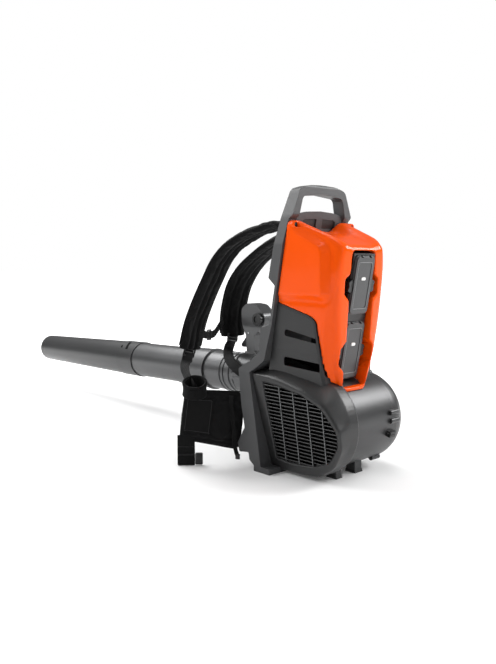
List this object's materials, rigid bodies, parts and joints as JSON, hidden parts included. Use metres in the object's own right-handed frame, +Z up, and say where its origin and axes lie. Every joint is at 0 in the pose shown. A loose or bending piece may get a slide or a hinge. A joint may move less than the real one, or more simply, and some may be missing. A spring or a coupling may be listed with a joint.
{
  "type": "backpack leaf blower",
  "caption": "Backpack leaf blower with a leaning frame, carry handle, side air intake, slide-in batteries, padded harness, and a swinging air tube with a pistol grip.",
  "frame": {"origin": "on the floor, under the middle of the frame's cross rail", "axes": "+X back from the wearer towards the battery cover, with the air tube pointing along -X; +Y to the wearer's right; +Z up"},
  "size_m": [1.4803, 0.3639, 0.59],
  "materials": {
    "frame_grey": "matte",
    "dark_plastic": "satin",
    "black_plastic": "matte",
    "orange_plastic": "gloss",
    "battery_plastic": "satin",
    "white_plastic": "gloss",
    "black_rubber": "matte",
    "black_fabric": "matte",
    "black_webbing": "matte",
    "steel": "satin",
    "aluminium": "satin",
    "cell_can": "satin",
    "circuit_board": "satin"
  },
  "bodies": {
    "frame": {"back_frame": "frame_grey", "top_vent_panel": "frame_grey", "back_pad": "black_fabric", "lumbar_pad": "black_fabric", "side_housing_left": "dark_plastic", "side_housing_right": "dark_plastic", "battery_cover": "orange_plastic", "cover_seal": "black_rubber", "housing_screws": "steel", "battery_tray": "black_plastic", "bay_contacts": "black_plastic", "motor_controller": "circuit_board", "heat_sink": "aluminium", "fan_housing": "dark_plastic", "scroll_cover": "dark_plastic", "lead_clip": "black_plastic", "rear_feet": "black_rubber", "intake_cover": "dark_plastic", "intake_grille": "black_plastic", "inlet_ring": "black_plastic", "motor_bracket": "aluminium", "motor_stator": "steel", "shaft_bearings": "steel", "bellows": "black_rubber", "bellows_rear_clamp": "steel", "shoulder_pad_left": "black_fabric", "shoulder_pad_right": "black_fabric", "harness_webbing": "black_webbing", "sternum_strap": "black_webbing", "hip_pad_left": "black_fabric", "hip_pad_right": "black_fabric", "hip_belt": "black_webbing"},
    "fan": {"fan_wheel": "black_plastic", "motor_shaft": "steel", "fan_nut": "steel"},
    "tube_base": {"bellows_front_clamp": "steel", "swivel_sleeve": "dark_plastic"},
    "tube": {"rear_tube": "dark_plastic", "tube_collar": "dark_plastic", "tube_screws": "steel", "front_tube": "dark_plastic", "handle_clamp_upper": "dark_plastic", "handle_clamp_lower": "dark_plastic", "grip_left": "frame_grey", "grip_right": "frame_grey", "trigger_pin": "steel", "throttle_switch": "black_plastic"},
    "trigger": {"trigger": "black_plastic"},
    "cruise_dial": {"cruise_dial": "black_plastic"},
    "nozzle": {"nozzle": "dark_plastic"},
    "battery_upper": {"battery_upper": "battery_plastic", "battery_upper_cells": "cell_can"},
    "battery_lower": {"battery_lower": "battery_plastic", "battery_lower_cells": "cell_can"},
    "upper_latch_left": {"battery_upper_latch_left": "black_plastic"},
    "upper_latch_right": {"battery_upper_latch_right": "black_plastic"},
    "upper_button": {"battery_upper_button": "white_plastic"},
    "lower_latch_left": {"battery_lower_latch_left": "black_plastic"},
    "lower_latch_right": {"battery_lower_latch_right": "black_plastic"},
    "lower_button": {"battery_lower_button": "white_plastic"}
  },
  "joints": [
    {"name": "fan_spin", "type": "hinge", "parent": "frame", "child": "fan", "pos_m": [0.085, 0, 0.108], "axis": [0, 1, 0], "continuous": true},
    {"name": "tube_swing", "type": "hinge", "parent": "frame", "child": "tube_base", "pos_m": [-0.118, 0.095, 0.161], "axis": [0, 0, -1], "range_deg": [-2, 25], "deforming": ["bellows"]},
    {"name": "tube_roll", "type": "hinge", "parent": "tube_base", "child": "tube", "pos_m": [-0.19798, 0.095, 0.15904], "axis": [-0.9997, 0, -0.0244], "range_deg": [-20, 40]},
    {"name": "trigger_pull", "type": "hinge", "parent": "tube", "child": "trigger", "pos_m": [-0.24648, 0.095, 0.26089], "axis": [0, -1, 0], "range_deg": [0, 14], "stiffness_Nm_per_rad": 0.4},
    {"name": "dial_turn", "type": "hinge", "parent": "tube", "child": "cruise_dial", "pos_m": [-0.20535, 0.075, 0.29691], "axis": [0, -1, 0], "range_deg": [0, 60]},
    {"name": "nozzle_twist", "type": "hinge", "parent": "tube", "child": "nozzle", "pos_m": [-0.73781, 0.095, 0.14585], "axis": [-0.9997, 0, -0.0244], "range_deg": [0, 25]},
    {"name": "battery_upper_slide", "type": "slide", "parent": "frame", "child": "battery_upper", "axis": [0.9848, 0, -0.1736], "range_m": [0, 0.11]},
    {"name": "upper_latch_left_press", "type": "slide", "parent": "battery_upper", "child": "upper_latch_left", "axis": [0, 1, 0], "range_m": [0, 0.003], "stiffness_N_per_m": 600},
    {"name": "upper_latch_right_press", "type": "slide", "parent": "battery_upper", "child": "upper_latch_right", "axis": [0, -1, 0], "range_m": [0, 0.003], "stiffness_N_per_m": 600},
    {"name": "upper_button_press", "type": "slide", "parent": "battery_upper", "child": "upper_button", "axis": [-0.9848, 0, 0.1736], "range_m": [0, 0.001], "stiffness_N_per_m": 800},
    {"name": "battery_lower_slide", "type": "slide", "parent": "frame", "child": "battery_lower", "axis": [0.9848, 0, -0.1736], "range_m": [0, 0.11]},
    {"name": "lower_latch_left_press", "type": "slide", "parent": "battery_lower", "child": "lower_latch_left", "axis": [0, 1, 0], "range_m": [0, 0.003], "stiffness_N_per_m": 600},
    {"name": "lower_latch_right_press", "type": "slide", "parent": "battery_lower", "child": "lower_latch_right", "axis": [0, -1, 0], "range_m": [0, 0.003], "stiffness_N_per_m": 600},
    {"name": "lower_button_press", "type": "slide", "parent": "battery_lower", "child": "lower_button", "axis": [-0.9848, 0, 0.1736], "range_m": [0, 0.001], "stiffness_N_per_m": 800}
  ]
}
